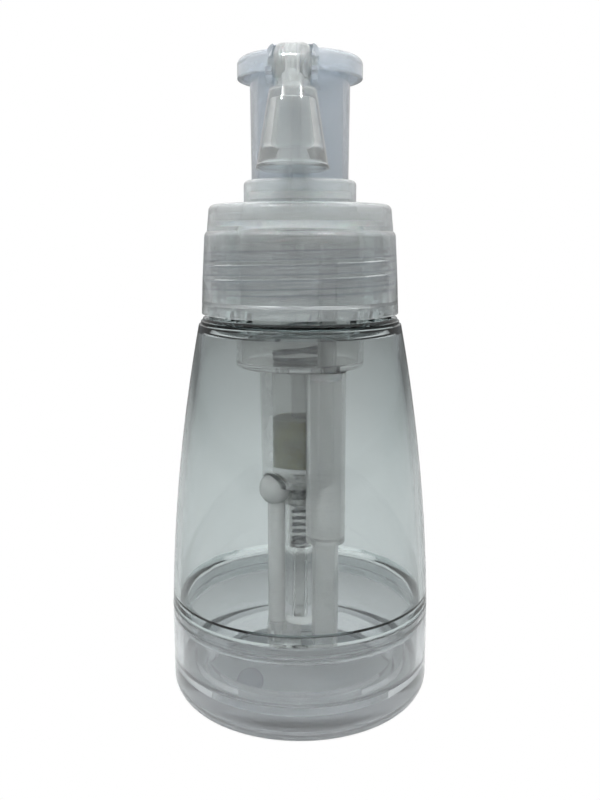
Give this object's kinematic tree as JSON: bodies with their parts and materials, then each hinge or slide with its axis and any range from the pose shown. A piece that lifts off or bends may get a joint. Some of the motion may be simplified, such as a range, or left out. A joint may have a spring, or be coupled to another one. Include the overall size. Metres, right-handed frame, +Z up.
{
  "type": "powder pump bottle",
  "caption": "Tapered clear refillable bottle with a base cup, screw collar, spring-loaded press head, fold-down cone nozzle, air cylinder, riser and air tubes inside.",
  "frame": {"origin": "centre of the foot ring on the surface the bottle stands on", "axes": "+Z up along the bottle, -Y towards the folded nozzle, +X to its right seen from the front"},
  "size_m": [0.0602, 0.0602, 0.1442],
  "materials": {
    "bottle_clear": "clear gloss",
    "cup_clear": "slightly hazy clear gloss",
    "bead_clear": "clear gloss",
    "collar_frost": "translucent natural, satin",
    "head_frost": "translucent natural, satin",
    "insert_frost": "translucent natural, satin",
    "tube_frost": "translucent natural, satin",
    "seal_soft": "soft translucent white",
    "filter_felt": "pressed felt",
    "spring_steel": "bright drawn wire"
  },
  "bodies": {
    "bottle": {"bottle": "bottle_clear", "base_cup": "cup_clear"},
    "bead": {"agitator_bead": "bead_clear"},
    "pump": {"air_cylinder": "insert_frost", "neck_gasket": "seal_soft", "guide_ring": "collar_frost", "column_wiper": "seal_soft", "riser_tube": "tube_frost", "riser_seal": "seal_soft", "valve_housing": "insert_frost", "air_filter": "filter_felt", "filter_pin": "insert_frost", "valve_leg": "tube_frost", "valve_spring": "spring_steel", "ball_cage": "insert_frost", "air_tube": "tube_frost", "mixing_foot": "tube_frost", "main_spring": "spring_steel"},
    "collar": {"screw_collar": "collar_frost"},
    "head": {"press_head": "head_frost", "nozzle_seal": "seal_soft", "air_piston": "insert_frost", "piston_seal": "seal_soft", "inlet_flap": "seal_soft", "inner_riser_tube": "tube_frost"},
    "nozzle": {"nozzle_cone": "head_frost"},
    "poppet": {"relief_poppet": "insert_frost"},
    "ball": {"check_ball": "bead_clear"}
  },
  "joints": [
    {"name": "bead_roll", "type": "hinge", "parent": "bottle", "child": "bead", "pos_m": [0, 0, 0.0079], "axis": [0, 0, 1], "continuous": true},
    {"name": "pump_rise", "type": "slide", "parent": "bottle", "child": "pump", "axis": [0, 0, 1], "range_m": [0, 0.006]},
    {"name": "collar_turn", "type": "hinge", "parent": "pump", "child": "collar", "pos_m": [0, 0, 0.1], "axis": [0, 0, 1], "range_deg": [0, 720]},
    {"name": "head_press", "type": "slide", "parent": "pump", "child": "head", "axis": [0, 0, -1], "range_m": [0, 0.016], "stiffness_N_per_m": 400, "springref_m": -0.006, "deforming": ["main_spring"]},
    {"name": "nozzle_fold", "type": "hinge", "parent": "head", "child": "nozzle", "pos_m": [0, -0.0174, 0.1399], "axis": [-1, 0, 0], "range_deg": [0, 87.3]},
    {"name": "poppet_lift", "type": "slide", "parent": "pump", "child": "poppet", "axis": [0, 0, -1], "range_m": [0, 0.0015], "stiffness_N_per_m": 120, "springref_m": -0.002, "deforming": ["valve_spring"]},
    {"name": "ball_lift", "type": "slide", "parent": "pump", "child": "ball", "axis": [0, 0, 1], "range_m": [0, 0.0014]}
  ],
  "couplings": [
    {"joint": "collar_turn", "follows": "pump_rise", "rad_per_m": 2094.4},
    {"joint": "nozzle_fold", "follows": "head_press", "rad_per_m": 95.2}
  ]
}
